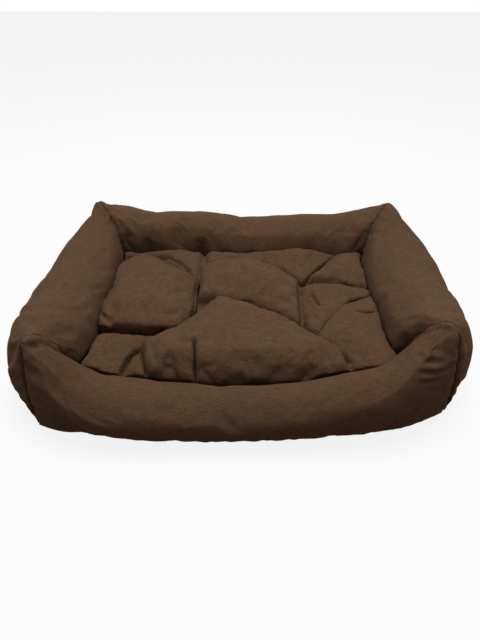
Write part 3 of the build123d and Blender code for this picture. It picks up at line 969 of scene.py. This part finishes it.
def cushion_block():
    """A rounded block with the crumpled top, cut away for the zip under its rear edge."""
    form = bmesh.new()
    bmesh.ops.create_cube(form, size=2)
    for axis, cuts in ((0, 140), (1, 100), (2, 12)):
        along = [e for e in form.edges if abs((e.verts[0].co - e.verts[1].co)[axis]) > 1e-6]
        bmesh.ops.subdivide_edges(form, edges=along, cuts=cuts, use_grid_fill=True)
    mesh = mesh_from(form, "cushion")
    block = read_points(mesh) * MM * cushion_half
    core = np.clip(block, edge_radius - cushion_half, cushion_half - edge_radius)
    way = block - core
    block = core + edge_radius * way / np.maximum(np.linalg.norm(way, axis=1, keepdims=True), 1e-9)
    up = block[:, 2] / cushion_half[2]
    x = block[:, 0]
    front = smoothstep(0, 1, -block[:, 1] / cushion_half[1])
    # The front side bows out by 14 mm in the middle, as the front bolster does.
    y = block[:, 1] + cushion_middle_y + 14 * (x / cushion_half[0]) ** 2 * front
    level, _ = crumpled_top(np.stack([x, y], axis=1))
    rise = np.maximum(level, cushion_equator + 4) - cushion_equator
    z = cushion_equator + np.where(up > 0, rise, cushion_equator - cushion_bottom) * up
    # The sides pull in towards the floor, and the rear more so where the zip is let in.
    lower = np.clip((cushion_equator - z) / (cushion_equator - cushion_bottom), 0, 1) ** 2
    x = x * (1 - 0.07 * lower)
    y = cushion_middle_y + (y - cushion_middle_y) * (1 - 0.08 * lower)
    let_in = zip_wall + 40 * (smoothstep(39, 68, z) + smoothstep(232, 258, np.abs(x)))
    write_points(mesh, np.stack([x, np.minimum(y, let_in), z], axis=1))
    return mesh


def loose_cushion():
    """The stuffed cushion: a crumpled block made even, puffed, creased and fitted to the rim."""
    piece = new_piece("cushion", cushion_block())
    settle(piece, "REMESH", mode="VOXEL", voxel_size=0.0045)
    relax(piece, 2)
    points = read_points(piece.data)
    # The cloth is held between the puffs, low on the sides, and round the zip.
    _, depth = crumpled_top(points[:, :2])
    hold = np.maximum((1 - smoothstep(2, 16, depth)) * 0.95, 1 - smoothstep(20, 50, points[:, 2]))
    near_zip = (np.abs(points[:, 0]) < 236) & (points[:, 1] > 140) & (points[:, 2] < 46)
    puff_up(piece, np.where(near_zip, 1.0, hold), pressure=3.0, growth=0.04, frames=14, most=10)
    settle(piece, "SUBSURF", levels=1, render_levels=1)
    points = press_creases(read_points(piece.data), read_normals(piece.data))
    write_points(piece.data, points)
    relax(piece, 1, 0.3)
    points = read_points(piece.data)
    normals = read_normals(piece.data)
    slack = crumple(points, slack_waves, 11) * smoothstep(40, 70, points[:, 2])
    points += normals * slack[:, None]
    # The seam round the sides and the line of the zip are sunk into the cloth.
    upright = 1 - smoothstep(0.3, 0.7, np.abs(normals[:, 2]))
    seam = 2.2 * hump(points[:, 2] - cushion_equator, 2.4) * upright
    zip_groove = 1.6 * hump(points[:, 2] - zip_level, 2.4)
    points -= normals * (seam + zip_groove)[:, None]
    points[:, 2] = np.maximum(points[:, 2], cushion_bottom)
    write_points(piece.data, draw_in(points, nest_walls, 2.4))
    dress(smooth_shaded(piece), cushion_cloth)
    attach(piece, "cushion")
    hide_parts("cushion_cover_top", "cushion_cover_bottom", "cushion_filling")


loose_cushion()


# Zip: the tapes, teeth, stops, slider and pull keep their solids

zip_finishes = {
    "zip_tape_upper": zip_tape,
    "zip_tape_lower": zip_tape,
    "zip_teeth_upper": zip_plastic,
    "zip_teeth_lower": zip_plastic,
    "zip_stop_left": zip_brass,
    "zip_stop_right": zip_brass,
    "zip_slider": zip_brass,
    "zip_pull": zip_brass,
}
for name, finish in zip_finishes.items():
    dress(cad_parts[name], finish)

# The folded edges of the cover that are sewn over the tapes, one above the chain and one below:
# half their length, how far they reach from the zip's middle, where they stand, and their edges
welt_half_length, welt_low, welt_high = 222.0, 5.7, 13.2
welt_back, welt_front = 161.9, 163.3
welt_rounding = 0.6


def zip_welt(name, side):
    """A narrow folded strip of the cover along one side of the zip."""
    low, high = sorted((zip_level + side * welt_low, zip_level + side * welt_high))
    form = bmesh.new()
    bmesh.ops.create_cube(form, size=2)
    lengthwise = [e for e in form.edges if abs((e.verts[0].co - e.verts[1].co)[0]) > 1e-6]
    bmesh.ops.subdivide_edges(form, edges=lengthwise, cuts=60, use_grid_fill=True)
    half = Vector((welt_half_length, (welt_front - welt_back) / 2, (high - low) / 2)) * MM
    bmesh.ops.scale(form, verts=form.verts, vec=half)
    middle = Vector((0, (welt_front + welt_back) / 2, (high + low) / 2)) * MM
    bmesh.ops.translate(form, verts=form.verts, vec=middle)
    # The strip wavers by a quarter of a millimetre, as a machine stitch leaves it.
    for vertex in form.verts:
        vertex.co.z += side * 0.25 * MM * math.sin(vertex.co.x / MM / 9.0)
    bmesh.ops.bevel(
        form,
        geom=[e for e in form.edges if e.calc_face_angle() > 1],
        offset=welt_rounding * MM,
        offset_type="OFFSET",
        segments=3,
        profile=0.5,
        affect="EDGES",
        material=-1,
    )
    bmesh.ops.recalc_face_normals(form, faces=form.faces)
    piece = dress(smooth_shaded(new_piece(name, mesh_from(form, name))), cushion_cloth)
    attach(piece, "cushion")


zip_welt("zip_welt_upper", 1)
zip_welt("zip_welt_lower", -1)


# Floor, backdrop and light

floor_material, tree = blank_material("pale studio floor")
eye = add_node(tree, "ShaderNodeLightPath", {})
# Towards the bed the floor gives back little and warm light; to the camera it is near white.
bounce = add_node(tree, "ShaderNodeBsdfDiffuse", {"Color": linear("#75604e")})
paper = add_node(tree, "ShaderNodeBsdfDiffuse", {"Color": linear("#ececec")})
glow = add_node(tree, "ShaderNodeEmission", {"Color": linear("#ffffff"), "Strength": 1.0})
pale = add_node(
    tree, "ShaderNodeMixShader", {0: 0.86, 1: paper.outputs["BSDF"], 2: glow.outputs["Emission"]}
)
seen = add_node(
    tree,
    "ShaderNodeMixShader",
    {0: eye.outputs["Is Camera Ray"], 1: bounce.outputs["BSDF"], 2: pale.outputs["Shader"]},
)
add_node(tree, "ShaderNodeOutputMaterial", {"Surface": seen.outputs["Shader"]})

floor_form = bmesh.new()
bmesh.ops.create_grid(floor_form, x_segments=1, y_segments=1, size=6)
floor = dress(new_piece("floor", mesh_from(floor_form, "floor")), floor_material)

world = bpy.data.worlds.new("studio")
bpy.context.scene.world = world
world.use_nodes = True
world.node_tree.nodes.clear()
tree = world.node_tree
eye = add_node(tree, "ShaderNodeLightPath", {})
# The white room is bright to the camera and in reflections, and dim as a light.
rays = {0: eye.outputs["Is Camera Ray"], 1: eye.outputs["Is Glossy Ray"]}
seen_by_lens = add_node(tree, "ShaderNodeMath", rays, operation="MAXIMUM")
strength = add_node(
    tree, "ShaderNodeMapRange", {"Value": seen_by_lens.outputs["Value"], "To Min": 0.28, "To Max": 1.0}
)
sky = add_node(
    tree, "ShaderNodeBackground", {"Color": linear("#ffffff"), "Strength": strength.outputs["Result"]}
)
add_node(tree, "ShaderNodeOutputWorld", {"Surface": sky.outputs["Background"]})


def softbox(name, place, target, width, height, power):
    """A soft rectangular lamp that faces a point."""
    lamp = bpy.data.lights.new(name, "AREA")
    lamp.shape = "RECTANGLE"
    lamp.size, lamp.size_y, lamp.energy = width, height, power
    holder = bpy.data.objects.new(name, lamp)
    holder.location = place
    way = Vector(target) - Vector(place)
    holder.rotation_euler = way.to_track_quat("-Z", "Y").to_euler()
    bpy.context.scene.collection.objects.link(holder)


softbox("top_softbox", (0.05, 0.1, 2.2), (0, 0, 0.05), 1.7, 1.1, 45.5)

bpy.context.scene.view_settings.view_transform = "Standard"
